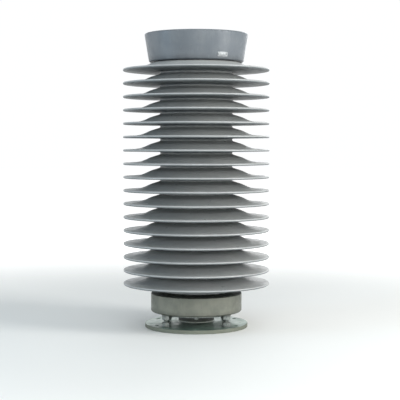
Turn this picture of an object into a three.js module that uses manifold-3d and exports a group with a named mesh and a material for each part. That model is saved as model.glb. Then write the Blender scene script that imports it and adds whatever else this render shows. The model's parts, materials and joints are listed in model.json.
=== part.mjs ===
// A 110 kV class porcelain insulator: a hollow, sealed porcelain post with seventeen sheds, a flared
// cast cap, a cast collar and a round base plate. Millimetres, +Z up, the origin at the middle of the
// base plate's underside.
//
// The porcelain is one fired piece. Its plain ends stand in the two castings on a cushion ring, and a
// cement ring locks each end in. A stepped closing plate in each casting presses an O-ring on the
// ground end of the porcelain, so the dry gas in the bore stays in. The lower closing plate carries a
// canister of desiccant with a filling valve. Four studs hold the collar above the base plate.

import * as THREE from "three";
import { mergeVertices } from "three/addons/utils/BufferGeometryUtils.js";
import Module from "manifold-3d";

const wasm = await Module();
wasm.setup();

// ---------------------------------------------------------------- driving dimensions

const SEAT = 0.3; // gap left between two pieces that bear on each other
const ROUND = 32; // sides of a large turned piece
const FINE = 12; // sides of a bolt, stud or pin
const SEAL_SIDES = 6; // sides of an O-ring's section
const OVERCUT = 5; // how far a cutting tool runs past the face it opens

// Porcelain. A shed is a nearly flat ring at the rim, and a cone from there up to its root.
const CORE_DIAMETER = 300;
const BORE_DIAMETER = 230;
const SHED_DIAMETER = 610;
const SHED_COUNT = 17;
const SHED_PITCH = 55.5;
const SHED_RIM_THICKNESS = 9;
const SHED_RING_WIDTH = 73;
const SHED_RING_THICKNESS = 12; // where the flat ring meets the cone
const SHED_ROOT_THICKNESS = 46;
const SHED_UNDERCUT = 2; // the underside rises this much from the root to the rim
const END_CHAMFER = 3;

// Cemented joints
const CEMENT_WIDTH = 8;
const CEMENT_RECESS = 5; // from the casting's mouth to the cement
const CUSHION_THICKNESS = 3;
const BEAD_WIDTH = 16;
const BEAD_HEIGHT = 12;

// Collar, the lower casting
const COLLAR_HEIGHT = 78;
const COLLAR_WALL = 32;
const COLLAR_WEB = 18;
const COLLAR_CHAMFER = 5;
const COLLAR_TO_SHED = 33; // bare porcelain between the collar and the lowest shed

// Cap, the upper casting
const CAP_HEIGHT = 117; // from the lip to the face
const CAP_LIP = 9; // the wall's outer edge hangs this far below its mouth, and follows the shed
const CAP_WALL = 39; // at the mouth
const CAP_FLARE = 17.5; // the top's radius less the mouth's
const CAP_WEB = 13; // under the cover
const CAP_TO_SHED = 2; // from the highest shed's root to the mouth
const CAP_CORNER = 4;
const COVER_RECESS = 20; // keeps the cover's bolts below the cap's face
const TERMINAL_HOLES = 8; // tapped M16
const TERMINAL_HOLE_DIAMETER = 14;
const TERMINAL_HOLE_DEPTH = 22;

// Closing plates, one in each casting
const SEAL_LAND = 13; // ground porcelain, from the bore to the plate's step
const COVER_FLANGE = 9;
const COVER_LAP = 2; // the flange's radius past the core's
const COVER_BOLTS = 6;
const STEP_WALL = 22; // thickness of the ring that reaches down to the porcelain
const STEP_CLEARANCE = 0.6;
const PORCELAIN_CLEARANCE = 0.5; // no metal touches the ground end
const GROOVE_WIDTH = 7;
const GROOVE_DEPTH = 5;

// Hexagon bolts, M10
const BOLT_DIAMETER = 10;
const BOLT_HEAD = 6.4;
const BOLT_ACROSS_FLATS = 16;
const BOLT_ENGAGEMENT = 9;

// Base plate and studs, M20
const PLATE_THICKNESS = 16;
const PLATE_MARGIN = 25; // the plate's radius past the collar's
const PLATE_CHAMFER = 1.5;
const ANCHOR_HOLES = 6;
const ANCHOR_HOLE_DIAMETER = 18;
const ANCHOR_EDGE = 27.5; // from a hole's middle to the plate's edge
const STANDOFF = 49; // clear height between the plate and the collar
const STUD_COUNT = 4;
const STUD_DIAMETER = 20;
const STUD_ENGAGEMENT = 32;
const STUD_SETBACK = 1; // the stud's foot stays above the plate's underside
const NUT_ACROSS_FLATS = 30;
const NUT_HEIGHT = 16;
const WASHER_DIAMETER = 37;
const WASHER_THICKNESS = 3;

// Desiccant canister, screwed into the lower closing plate
const CANISTER_DIAMETER = 150;
const CANISTER_NECK_DIAMETER = 132;
const CANISTER_NECK_HEIGHT = 17;
const CANISTER_BORE = 116;
const CANISTER_FLOOR = 6;
const CANISTER_TO_PLATE = 6;
const CANISTER_CHAMFER = 4;
const BOSS_WALL = 14;
const CARTRIDGE_HEADROOM = 5; // from the cartridge to the canister's mouth

// Filling valve, at the back of the canister
const VALVE_THREAD_DIAMETER = 12;
const VALVE_HEX = 17;
const VALVE_HEX_LENGTH = 7;
const VALVE_STEM_DIAMETER = 9;
const VALVE_STEM_LENGTH = 16;
const VALVE_CAP_DIAMETER = 15;
const VALVE_CAP_WALL = 2;
const VALVE_CAP_GAP = 1; // from the hexagon to the cap

// Blank rating plate, riveted to the cap
const RATING_ANGLE = -58; // degrees from +X; -90 is the front
const RATING_WIDTH = 48;
const RATING_HEIGHT = 18;
const RATING_THICKNESS = 1.5;
const RATING_ABOVE_LIP = 12;
const RIVET_INSET = 5;
const RIVET_DIAMETER = 4;
const RIVET_HEAD_DIAMETER = 7;
const RIVET_HEAD = 2;
const RIVET_DEPTH = 7;

// ---------------------------------------------------------------- places worked out from them

const coreRadius = CORE_DIAMETER / 2;
const boreRadius = BORE_DIAMETER / 2;
const shedRadius = SHED_DIAMETER / 2;
const socketRadius = coreRadius + CEMENT_WIDTH;
const collarRadius = socketRadius + COLLAR_WALL;
const mouthRadius = socketRadius + CAP_WALL;
const capRadius = mouthRadius + CAP_FLARE;
const plateRadius = collarRadius + PLATE_MARGIN;
const openingRadius = boreRadius + SEAL_LAND;
const flangeRadius = coreRadius + COVER_LAP;
const recessRadius = flangeRadius + STEP_CLEARANCE;
const coverBoltRadius = (openingRadius + flangeRadius) / 2;
const studRadius = socketRadius + COLLAR_WALL / 2;
const anchorRadius = plateRadius - ANCHOR_EDGE;
const terminalRadius = (recessRadius + capRadius) / 2;

const collarBottom = PLATE_THICKNESS + STANDOFF;
const collarTop = collarBottom + COLLAR_HEIGHT;
const lowestShed = collarTop + COLLAR_TO_SHED;
const highestShed = lowestShed + (SHED_COUNT - 1) * SHED_PITCH;
const capMouth = highestShed + SHED_ROOT_THICKNESS + CAP_TO_SHED;
const capBottom = capMouth - CAP_LIP;
const capTop = capBottom + CAP_HEIGHT;
const coverSeat = capTop - COVER_RECESS;
const cushionStack = CUSHION_THICKNESS + 2 * SEAT;
const porcelainBottom = collarBottom + COLLAR_WEB + cushionStack;
const porcelainTop = coverSeat - CAP_WEB - cushionStack;
const canisterTop = collarBottom - 2 * SEAT - COVER_FLANGE;
const canisterBottom = PLATE_THICKNESS + CANISTER_TO_PLATE;

// ---------------------------------------------------------------- shapes

// A turned solid from its outline of [radius, height] points.
function turned(outline, sides = ROUND) {
  const area = outline.reduce((sum, [r, z], i) => {
    const [nextR, nextZ] = outline[(i + 1) % outline.length];
    return sum + r * nextZ - nextR * z;
  }, 0);
  const points = outline.map(([r, z]) => new THREE.Vector2(r, z));
  if (area < 0) points.reverse();
  points.push(points[0].clone());
  return new THREE.LatheGeometry(points, sides).rotateX(Math.PI / 2);
}

// A turned solid that is a disc: its outline starts and ends on the axis.
function turnedDisc(outline, sides = ROUND) {
  const points = outline.map(([r, z]) => new THREE.Vector2(r, z));
  return new THREE.LatheGeometry(points, sides).rotateX(Math.PI / 2);
}

// A round bar along +Z from one height to another.
function bar(diameter, from, to, sides = FINE) {
  return new THREE.CylinderGeometry(diameter / 2, diameter / 2, to - from, sides)
    .rotateX(Math.PI / 2)
    .translate(0, 0, (from + to) / 2);
}

// A hexagonal bar along +Z.
function hexBar(acrossFlats, from, to) {
  return bar((2 * acrossFlats) / Math.sqrt(3), from, to, 6);
}

// A flat ring along +Z.
function ring(innerRadius, outerRadius, from, to) {
  return turned([
    [innerRadius, from],
    [outerRadius, from],
    [outerRadius, to],
    [innerRadius, to],
  ]);
}

function solidOf(geometry) {
  const bare = geometry.clone();
  bare.deleteAttribute("normal");
  bare.deleteAttribute("uv");
  const merged = mergeVertices(bare, 1e-4);
  return new wasm.Manifold(
    new wasm.Mesh({
      numProp: 3,
      vertProperties: merged.attributes.position.array,
      triVerts: new Uint32Array(merged.index.array),
    }),
  );
}

function geometryOf(solid) {
  const mesh = solid.getMesh();
  return new THREE.BufferGeometry()
    .setAttribute("position", new THREE.BufferAttribute(mesh.vertProperties, 3))
    .setIndex(new THREE.BufferAttribute(mesh.triVerts, 1));
}

function join(...geometries) {
  return geometryOf(geometries.map(solidOf).reduce((all, one) => all.add(one)));
}

function cut(geometry, ...tools) {
  return geometryOf(tools.map(solidOf).reduce((left, tool) => left.subtract(tool), solidOf(geometry)));
}

function common(a, b) {
  return geometryOf(solidOf(a).intersect(solidOf(b)));
}

// The angles of an even pattern, in radians.
function pattern(count, first = 0) {
  return Array.from({ length: count }, (_, i) => first + (i * 2 * Math.PI) / count);
}

// A copy of a shape on the Z axis, moved out to a circle.
function onCircle(geometry, radius, angle) {
  return geometry.clone().translate(radius, 0, 0).rotateZ(angle);
}

const studAngles = pattern(STUD_COUNT, Math.PI / STUD_COUNT);
const anchorAngles = pattern(ANCHOR_HOLES, Math.PI / ANCHOR_HOLES);
const coverBoltAngles = pattern(COVER_BOLTS, Math.PI / COVER_BOLTS);
const terminalAngles = pattern(TERMINAL_HOLES, Math.PI / TERMINAL_HOLES);

// ---------------------------------------------------------------- the pieces

function porcelainHousing() {
  const outline = [
    [boreRadius, porcelainBottom],
    [coreRadius - END_CHAMFER, porcelainBottom],
    [coreRadius, porcelainBottom + END_CHAMFER],
  ];
  for (let i = 0; i < SHED_COUNT; i++) {
    const underside = lowestShed + i * SHED_PITCH;
    const rim = underside + SHED_UNDERCUT;
    outline.push(
      [coreRadius, underside],
      [shedRadius, rim],
      [shedRadius, rim + SHED_RIM_THICKNESS],
      [shedRadius - SHED_RING_WIDTH, rim + SHED_RING_THICKNESS],
      [coreRadius, underside + SHED_ROOT_THICKNESS],
    );
  }
  outline.push(
    [coreRadius, porcelainTop - END_CHAMFER],
    [coreRadius - END_CHAMFER, porcelainTop],
    [boreRadius, porcelainTop],
  );
  return turned(outline);
}

// Cement fills the socket from the end of the porcelain to just inside the casting's mouth.
function cementRing(endOfPorcelain, mouth) {
  const recessed = mouth + Math.sign(endOfPorcelain - mouth) * CEMENT_RECESS;
  const [from, to] = [endOfPorcelain, recessed].sort((a, b) => a - b);
  return ring(coreRadius + SEAT, socketRadius - SEAT, from, to);
}

// The ring between a casting's web and the end of the porcelain.
function cushionRing(from) {
  return ring(openingRadius, coreRadius - END_CHAMFER, from, from + CUSHION_THICKNESS);
}

// Weather sealant in the corner between the porcelain and the collar's mouth.
function collarBead() {
  const foot = collarTop + SEAT;
  const inner = coreRadius + SEAT;
  return turned([
    [inner, foot],
    [inner + BEAD_WIDTH, foot],
    [inner + BEAD_WIDTH / 3, foot + BEAD_HEIGHT / 3],
    [inner, foot + BEAD_HEIGHT],
  ]);
}

// Sealant packed in the cap's mouth, flush with its edge.
function capBead() {
  return ring(coreRadius + SEAT, socketRadius - SEAT, capMouth, capMouth + CEMENT_RECESS - SEAT);
}

function collar() {
  const body = turned([
    [openingRadius, collarBottom],
    [collarRadius - COLLAR_CHAMFER, collarBottom],
    [collarRadius, collarBottom + COLLAR_CHAMFER],
    [collarRadius, collarTop - COLLAR_CHAMFER / 2],
    [collarRadius - COLLAR_CHAMFER / 2, collarTop],
    [socketRadius, collarTop],
    [socketRadius, collarBottom + COLLAR_WEB],
    [openingRadius, collarBottom + COLLAR_WEB],
  ]);
  const studHole = bar(
    STUD_DIAMETER + 2 * SEAT,
    collarBottom - OVERCUT,
    collarBottom + STUD_ENGAGEMENT + SEAT,
  );
  const boltHole = bar(
    BOLT_DIAMETER + 2 * SEAT,
    collarBottom - OVERCUT,
    collarBottom + BOLT_ENGAGEMENT + SEAT,
  );
  return cut(
    body,
    ...studAngles.map((a) => onCircle(studHole, studRadius, a)),
    ...coverBoltAngles.map((a) => onCircle(boltHole, coverBoltRadius, a)),
  );
}

function cap() {
  const webBottom = coverSeat - CAP_WEB;
  const body = turned([
    [socketRadius, capMouth],
    [mouthRadius - CAP_CORNER, capBottom],
    [mouthRadius, capBottom + CAP_CORNER],
    [capRadius, capTop - CAP_CORNER],
    [capRadius - CAP_CORNER, capTop],
    [recessRadius, capTop],
    [recessRadius, coverSeat],
    [openingRadius, coverSeat],
    [openingRadius, webBottom],
    [socketRadius, webBottom],
  ]);
  const terminalHole = bar(TERMINAL_HOLE_DIAMETER, capTop - TERMINAL_HOLE_DEPTH, capTop + OVERCUT);
  const boltHole = bar(
    BOLT_DIAMETER + 2 * SEAT,
    coverSeat - BOLT_ENGAGEMENT - SEAT,
    coverSeat + OVERCUT,
  );
  return cut(
    body,
    ...terminalAngles.map((a) => onCircle(terminalHole, terminalRadius, a)),
    ...coverBoltAngles.map((a) => onCircle(boltHole, coverBoltRadius, a)),
    ...rivets(SEAT),
  );
}

// Half of a closing plate's outline, from its flange's outer edge, over the step and its seal groove,
// to the inner side of the step. seat is the casting's face, end the porcelain's, and out is +1 where
// the plate lies above its porcelain and -1 where it lies below.
function closingOutline(seat, end, out) {
  const stepRadius = openingRadius - STEP_CLEARANCE;
  const stepFace = end + out * PORCELAIN_CLEARANCE;
  const grooveMiddle = boreRadius + SEAL_LAND / 2;
  const grooveFloor = stepFace + out * GROOVE_DEPTH;
  const inside = seat + out * SEAT;
  return [
    [flangeRadius, inside + out * COVER_FLANGE],
    [flangeRadius, inside],
    [stepRadius, inside],
    [stepRadius, stepFace],
    [grooveMiddle + GROOVE_WIDTH / 2, stepFace],
    [grooveMiddle + GROOVE_WIDTH / 2, grooveFloor],
    [grooveMiddle - GROOVE_WIDTH / 2, grooveFloor],
    [grooveMiddle - GROOVE_WIDTH / 2, stepFace],
    [stepRadius - STEP_WALL, stepFace],
    [stepRadius - STEP_WALL, inside],
  ];
}

function boltHolesThrough(flangeFrom, flangeTo) {
  const hole = bar(BOLT_DIAMETER + 2 * SEAT, flangeFrom - OVERCUT, flangeTo + OVERCUT);
  return coverBoltAngles.map((a) => onCircle(hole, coverBoltRadius, a));
}

function topCover() {
  const inside = coverSeat + SEAT;
  const outline = closingOutline(coverSeat, porcelainTop, 1);
  const disc = turnedDisc([[0, inside], ...outline.reverse(), [0, inside + COVER_FLANGE]]);
  return cut(disc, ...boltHolesThrough(inside, inside + COVER_FLANGE));
}

function lowerClosingPlate() {
  const inside = collarBottom - SEAT;
  const threadRadius = CANISTER_NECK_DIAMETER / 2 + SEAT;
  const bossTop = canisterTop + CANISTER_NECK_HEIGHT;
  const plate = turned([
    ...closingOutline(collarBottom, porcelainBottom, -1),
    [threadRadius + BOSS_WALL, inside],
    [threadRadius + BOSS_WALL, bossTop],
    [threadRadius, bossTop],
    [threadRadius, inside - COVER_FLANGE],
  ]);
  return cut(plate, ...boltHolesThrough(inside - COVER_FLANGE, inside));
}

// An O-ring squeezed between its groove's floor and the ground porcelain.
function sealRing(end, out) {
  const section = (GROOVE_DEPTH + PORCELAIN_CLEARANCE) / 2 - SEAT;
  const middle = boreRadius + SEAL_LAND / 2;
  const height = end + out * (section + SEAT);
  return turned(
    pattern(SEAL_SIDES, Math.PI / 2).map((a) => [middle + section * Math.cos(a), height + section * Math.sin(a)]),
  );
}

// An M10 bolt with its head's underside at height 0 and its shank below.
function hexBolt() {
  const shank = COVER_FLANGE + BOLT_ENGAGEMENT;
  return join(
    hexBar(BOLT_ACROSS_FLATS, SEAT, BOLT_HEAD + SEAT),
    bar(BOLT_DIAMETER, -shank, BOLT_HEAD / 2),
  );
}

function basePlate() {
  const disc = turnedDisc([
    [0, 0],
    [plateRadius - PLATE_CHAMFER, 0],
    [plateRadius, PLATE_CHAMFER],
    [plateRadius, PLATE_THICKNESS - PLATE_CHAMFER],
    [plateRadius - PLATE_CHAMFER, PLATE_THICKNESS],
    [0, PLATE_THICKNESS],
  ]);
  const anchorHole = bar(ANCHOR_HOLE_DIAMETER, -OVERCUT, PLATE_THICKNESS + OVERCUT);
  const studHole = bar(STUD_DIAMETER + 2 * SEAT, -OVERCUT, PLATE_THICKNESS + OVERCUT);
  return cut(
    disc,
    ...anchorAngles.map((a) => onCircle(anchorHole, anchorRadius, a)),
    ...studAngles.map((a) => onCircle(studHole, studRadius, a)),
  );
}

function stud() {
  return bar(STUD_DIAMETER, STUD_SETBACK, collarBottom + STUD_ENGAGEMENT);
}

function hexNut() {
  const thread = bar(STUD_DIAMETER + 2 * SEAT, -OVERCUT, NUT_HEIGHT + OVERCUT);
  return cut(hexBar(NUT_ACROSS_FLATS, 0, NUT_HEIGHT), thread);
}

function washer() {
  const hole = bar(STUD_DIAMETER + 2 * SEAT, -OVERCUT, WASHER_THICKNESS + OVERCUT);
  return cut(bar(WASHER_DIAMETER, 0, WASHER_THICKNESS, 2 * FINE), hole);
}

function desiccantCanister() {
  const outer = CANISTER_DIAMETER / 2;
  const neck = CANISTER_NECK_DIAMETER / 2;
  const inner = CANISTER_BORE / 2;
  const mouth = canisterTop + CANISTER_NECK_HEIGHT;
  const cup = turnedDisc([
    [0, canisterBottom],
    [outer - CANISTER_CHAMFER, canisterBottom],
    [outer, canisterBottom + CANISTER_CHAMFER],
    [outer, canisterTop],
    [neck, canisterTop],
    [neck, mouth],
    [inner, mouth],
    [inner, canisterBottom + CANISTER_FLOOR],
    [0, canisterBottom + CANISTER_FLOOR],
  ]);
  const port = bar(VALVE_THREAD_DIAMETER + 2 * SEAT, CANISTER_BORE / 4, CANISTER_DIAMETER);
  return cut(cup, port.rotateX(-Math.PI / 2).translate(0, 0, valveHeight));
}

// A perforated can of desiccant that stands loose in the canister.
function desiccantCartridge() {
  const radius = CANISTER_BORE / 2 - SEAT;
  const floor = canisterBottom + CANISTER_FLOOR + SEAT;
  const top = canisterTop + CANISTER_NECK_HEIGHT - CARTRIDGE_HEADROOM;
  const corner = CANISTER_CHAMFER;
  return turnedDisc([
    [0, floor],
    [radius - corner, floor],
    [radius, floor + corner],
    [radius, top - corner],
    [radius - corner, top],
    [0, top],
  ]);
}

// The valve points out along +Y. Lengths run from the canister's wall.
const valveHeight = (canisterBottom + canisterTop) / 2;
const canisterFace = CANISTER_DIAMETER / 2;
const wallDepth = (CANISTER_DIAMETER - CANISTER_BORE) / 2;

function pointedBack(geometry) {
  return geometry.rotateX(-Math.PI / 2).translate(0, canisterFace, valveHeight);
}

function valveBody() {
  return pointedBack(
    join(
      bar(VALVE_THREAD_DIAMETER, SEAT - wallDepth / 2, VALVE_HEX_LENGTH / 2),
      hexBar(VALVE_HEX, SEAT, VALVE_HEX_LENGTH),
      bar(VALVE_STEM_DIAMETER, VALVE_HEX_LENGTH / 2, VALVE_HEX_LENGTH + VALVE_STEM_LENGTH),
    ),
  );
}

function valveCap() {
  const from = VALVE_HEX_LENGTH + VALVE_CAP_GAP;
  const stemEnd = VALVE_HEX_LENGTH + VALVE_STEM_LENGTH;
  return pointedBack(
    cut(
      bar(VALVE_CAP_DIAMETER, from, stemEnd + SEAT + VALVE_CAP_WALL),
      bar(VALVE_STEM_DIAMETER + 2 * SEAT, from - OVERCUT, stemEnd + SEAT),
    ),
  );
}

// The cap's flared side at a height above its lip.
function sideRadius(aboveLip) {
  const along = (aboveLip - CAP_CORNER) / (CAP_HEIGHT - 2 * CAP_CORNER);
  return mouthRadius + CAP_FLARE * along;
}

const ratingMiddle = RATING_ABOVE_LIP + RATING_HEIGHT / 2;
const sideSlope = Math.atan2(CAP_FLARE, CAP_HEIGHT - 2 * CAP_CORNER);

// Two rivets through the rating plate into the cap. grow widens them into the tool for their holes.
function rivets(grow = 0) {
  const reach = RATING_WIDTH / 2 - RIVET_INSET;
  const surface = sideRadius(ratingMiddle);
  const outside = RATING_THICKNESS + 2 * SEAT;
  const shank = bar(RIVET_DIAMETER + 2 * grow, -RIVET_DEPTH - grow, outside + RIVET_HEAD / 2);
  const head = bar(RIVET_HEAD_DIAMETER, outside, outside + RIVET_HEAD);
  const rivet = grow ? shank : join(shank, head);
  return [-1, 1].map((side) =>
    rivet
      .clone()
      .rotateY(Math.PI / 2 + sideSlope)
      .translate(surface, 0, capBottom + ratingMiddle)
      .rotateZ(THREE.MathUtils.degToRad(RATING_ANGLE) + (side * reach) / surface),
  );
}

// A strip of a thin cone that follows the cap's side.
function ratingPlate() {
  const below = RATING_ABOVE_LIP;
  const above = RATING_ABOVE_LIP + RATING_HEIGHT;
  const out = SEAT + RATING_THICKNESS;
  const shell = turned([
    [sideRadius(below) + SEAT, capBottom + below],
    [sideRadius(below) + out, capBottom + below],
    [sideRadius(above) + out, capBottom + above],
    [sideRadius(above) + SEAT, capBottom + above],
  ]);
  const window = new THREE.BoxGeometry(capRadius, RATING_WIDTH, CAP_HEIGHT)
    .translate(sideRadius(ratingMiddle), 0, capBottom + ratingMiddle)
    .rotateZ(THREE.MathUtils.degToRad(RATING_ANGLE));
  return cut(common(shell, window), ...rivets(SEAT));
}

// ---------------------------------------------------------------- materials

function finish(color, roughness, metalness) {
  return new THREE.MeshStandardMaterial({ color, roughness, metalness });
}

const glaze = finish("#8f9796", 0.25, 0);
const capPaint = finish("#8c949b", 0.4, 0.1);
const cement = finish("#b5b2a8", 0.95, 0);
const sealant = finish("#23251f", 0.6, 0);
const rubber = finish("#1d1d1d", 0.8, 0);
const castAluminium = finish("#85857a", 0.55, 0.8);
const zincPlate = finish("#8fa19b", 0.2, 1);
const galvanised = finish("#a3a8a6", 0.45, 0.9);
const blackPaint = finish("#23271f", 0.5, 0.1);
const brass = finish("#b08d45", 0.35, 1);
const bareAluminium = finish("#c4c8c9", 0.35, 0.9);

// ---------------------------------------------------------------- assembly

const insulator = new THREE.Group();

function add(name, geometry, material) {
  const mesh = new THREE.Mesh(geometry, material);
  mesh.name = name;
  insulator.add(mesh);
  return mesh;
}

function addOnCircle(name, geometry, material, radius, angles, height = 0) {
  angles.forEach((angle, i) => {
    const mesh = add(`${name}_${i + 1}`, geometry, material);
    mesh.position.set(radius * Math.cos(angle), radius * Math.sin(angle), height);
    mesh.rotation.z = angle;
  });
}

add("porcelain_housing", porcelainHousing(), glaze);

add("collar", collar(), castAluminium);
add("collar_cement", cementRing(porcelainBottom, collarTop), cement);
add("collar_cushion_ring", cushionRing(collarBottom + COLLAR_WEB + SEAT), rubber);
add("collar_sealant_bead", collarBead(), sealant);
add("lower_closing_plate", lowerClosingPlate(), galvanised);
add("lower_seal_ring", sealRing(porcelainBottom, -1), rubber);

add("cap", cap(), capPaint);
add("cap_cement", cementRing(porcelainTop, capMouth), cement);
add("cap_cushion_ring", cushionRing(porcelainTop + SEAT), rubber);
add("cap_sealant_bead", capBead(), sealant);
add("top_cover", topCover(), galvanised);
add("upper_seal_ring", sealRing(porcelainTop, 1), rubber);
add("rating_plate", ratingPlate(), bareAluminium);
rivets().forEach((rivet, i) => add(`rating_rivet_${i + 1}`, rivet, bareAluminium));

const upwardBolt = hexBolt().rotateX(Math.PI);
const coverTop = coverSeat + SEAT + COVER_FLANGE;
const lowerFlangeFace = collarBottom - SEAT - COVER_FLANGE;
addOnCircle("cover_bolt", hexBolt(), galvanised, coverBoltRadius, coverBoltAngles, coverTop);
addOnCircle("closing_bolt", upwardBolt, galvanised, coverBoltRadius, coverBoltAngles, lowerFlangeFace);

add("base_plate", basePlate(), zincPlate);
addOnCircle("stud", stud(), galvanised, studRadius, studAngles);
const plateNutSeat = PLATE_THICKNESS + WASHER_THICKNESS + 2 * SEAT;
const collarNutSeat = collarBottom - WASHER_THICKNESS - NUT_HEIGHT - 2 * SEAT;
const collarWasherSeat = collarBottom - WASHER_THICKNESS - SEAT;
addOnCircle("plate_washer", washer(), galvanised, studRadius, studAngles, PLATE_THICKNESS + SEAT);
addOnCircle("plate_nut", hexNut(), galvanised, studRadius, studAngles, plateNutSeat);
addOnCircle("collar_nut", hexNut(), galvanised, studRadius, studAngles, collarNutSeat);
addOnCircle("collar_washer", washer(), galvanised, studRadius, studAngles, collarWasherSeat);

add("desiccant_canister", desiccantCanister(), blackPaint);
add("desiccant_cartridge", desiccantCartridge(), bareAluminium);
add("filling_valve", valveBody(), brass);
add("filling_valve_cap", valveCap(), brass);

export default insulator;
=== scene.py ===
# The looks of a 110 kV class porcelain insulator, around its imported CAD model. Metres, +Z up.
#
# The turned pieces take their outlines from the CAD nodes and get round corners, finer turning and
# drilled holes. The studs get a helical thread, and the bolts and the cap's terminal holes plain
# rings in its place. The other tapped holes and the valve's screw are plain. Every finish is made
# from nodes.

import json
import math
from functools import partial

import bmesh
import bpy
from mathutils import Matrix, Vector, noise


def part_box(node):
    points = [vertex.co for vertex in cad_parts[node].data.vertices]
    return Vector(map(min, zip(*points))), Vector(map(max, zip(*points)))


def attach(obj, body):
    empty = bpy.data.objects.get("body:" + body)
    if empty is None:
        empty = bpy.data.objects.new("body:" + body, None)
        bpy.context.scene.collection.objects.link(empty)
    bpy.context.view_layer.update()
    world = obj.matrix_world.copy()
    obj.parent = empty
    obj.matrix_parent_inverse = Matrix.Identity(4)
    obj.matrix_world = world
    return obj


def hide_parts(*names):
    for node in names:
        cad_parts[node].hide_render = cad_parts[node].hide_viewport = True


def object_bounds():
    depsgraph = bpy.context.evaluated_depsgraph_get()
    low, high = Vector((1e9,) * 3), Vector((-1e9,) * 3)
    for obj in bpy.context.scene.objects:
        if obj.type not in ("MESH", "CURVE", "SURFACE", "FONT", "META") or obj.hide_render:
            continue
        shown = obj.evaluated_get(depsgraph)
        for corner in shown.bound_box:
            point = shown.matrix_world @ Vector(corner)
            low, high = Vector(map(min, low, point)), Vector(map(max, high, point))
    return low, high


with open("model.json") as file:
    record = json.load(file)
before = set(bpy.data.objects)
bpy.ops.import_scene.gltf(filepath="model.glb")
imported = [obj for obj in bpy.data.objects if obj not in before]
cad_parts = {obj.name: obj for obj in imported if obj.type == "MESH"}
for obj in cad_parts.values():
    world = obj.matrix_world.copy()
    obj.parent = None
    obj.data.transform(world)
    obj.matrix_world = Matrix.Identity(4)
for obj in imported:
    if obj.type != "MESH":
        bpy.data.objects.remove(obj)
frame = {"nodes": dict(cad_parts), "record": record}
nodes = frame["nodes"]
slot_of = {part["node"]: part["material_slot"] for part in frame["record"]["subparts"]}
cad_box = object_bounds()
MM = 0.001

# ---------------------------------------------------------------- driving values

FACETS = 32  # sides of the CAD model's large turned pieces
ROUND = 144  # sides of the same pieces here
FINE = 48  # sides of a fastener
COARSE = FINE // 2  # sides of a stud's thread, a drilled hole and a rivet
ARC_STEP = math.radians(18)
ARC_REACH = 0.48  # the most of an edge that one rounded corner takes
SHARP_ANGLE = math.radians(32)  # edges sharper than this aren't smoothed
WELD = 1e-6  # points nearer than this are one point

# Porcelain
RIM_ROUNDING = 4.3 * MM
SHED_BLEND = 120 * MM  # from a shed's flat ring to its cone
SHED_BULGE = 3 * MM  # how far the cone swells
ROOT_FILLET = 7 * MM
KILN_WAVE = 0.7 * MM
WAVE_ACROSS = 4  # scale of the wave's noise, level
WAVE_UP = 11  # and upright
CONE_SPAN = 10 * MM  # an edge that rises and runs further than this is a shed's cone
FACE_SPAN = 28 * MM  # the widest ring of faces on the porcelain

# Castings and plates
CAST_ROUNDING = 2.5 * MM
MACHINED_ROUNDING = 0.6 * MM
HOLE_CHAMFER = 1 * MM
BOLT_HOLE_CHAMFER = 0.2 * MM
COVER_HOLE_CHAMFER = 0.5 * MM
CUT_OVER = 3 * MM  # how far a cutting tool runs past a face
HOLE_PLAY = 0.6 * MM  # a hole's diameter past its bolt's
SEAT = 0.3 * MM  # gap between two pieces that bear on each other
COVER_FLANGE = 9 * MM
TERMINAL_HOLES = 8
TERMINAL_DIAMETER = 14 * MM
TERMINAL_DEPTH = 22 * MM
TERMINAL_PITCH = 2 * MM
ANCHOR_HOLES = 6
ANCHOR_DIAMETER = 18 * MM
ANCHOR_EDGE = 27.5 * MM
BEAD_ROUNDING = 1.6 * MM
BEAD_WANDER = 1.2 * MM
BEAD_SLOW = (9, 60)  # scale of the wide waves in its edge, round the axis and upright
BEAD_QUICK = (34, 160)  # and of the narrow ones
BEAD_SINK = 0.6  # how far its face lies back, of BEAD_WANDER

# Fasteners
THREAD_DEPTH = 0.61  # of the pitch
THREAD_ROOT = 0.25  # where the flat root ends, of the pitch
THREAD_CREST = (0.5625, 0.6875)  # where the flat crest begins and ends, of the pitch
HEX_CORNER = 0.985  # a worn corner's distance from the axis, of a sharp one's
CHAMFER_START = 0.96  # where a hexagon's chamfer begins, of its width across flats
HEAD_FACE = 0.95  # the flat face of a bolt's head or the valve's hexagon, of the same
NUT_CHAMFER = 1.2 * MM
HEAD_DISH = 0.3 * MM
DISH_RIM = (0.72, 0.82)  # where the dish ends and the flat face begins, of that face
STUDS = 4
STUD_DIAMETER = 20 * MM
STUD_PITCH = 2.5 * MM
STUD_CHAMFER = 2 * MM
NUT_ACROSS_FLATS = 30 * MM
WASHER_DIAMETER = 37 * MM
COVER_BOLTS = 6
BOLT_DIAMETER = 10 * MM
BOLT_PITCH = 1.5 * MM
BOLT_ACROSS_FLATS = 16 * MM
BOLT_HEAD = 6.4 * MM

# Filling valve
VALVE_THREAD = 12 * MM
VALVE_HEX = 17 * MM
VALVE_HEX_LENGTH = 7 * MM
VALVE_STEM = 9 * MM
CAP_RIDGES = 36
KNURL_DEPTH = 0.35 * MM

# Rating plate
RATING_WIDTH = 48 * MM
RATING_THICKNESS = 1.5 * MM
RATING_BORDER = 1.6 * MM
RATING_CORNER = 3 * MM
RATING_LEAST_CORNER = 0.6 * MM
RATING_EDGE = 0.3 * MM  # the chamfer round the plate
RATING_STEP = 0.4 * MM  # from the border down to the face
RATING_RINGS = (0.8, 0.6, 0.4, 0.2)  # rings of points across a face, of its outline
RIVETS = 2
RIVET_INSET = 5 * MM
RIVET_DIAMETER = 4 * MM
RIVET_HEAD = 7 * MM
RIVET_DOME = 2 * MM
RIVET_DEPTH = 7 * MM
DOME_STEPS = 6
CORNER_POINTS = 20

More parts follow.
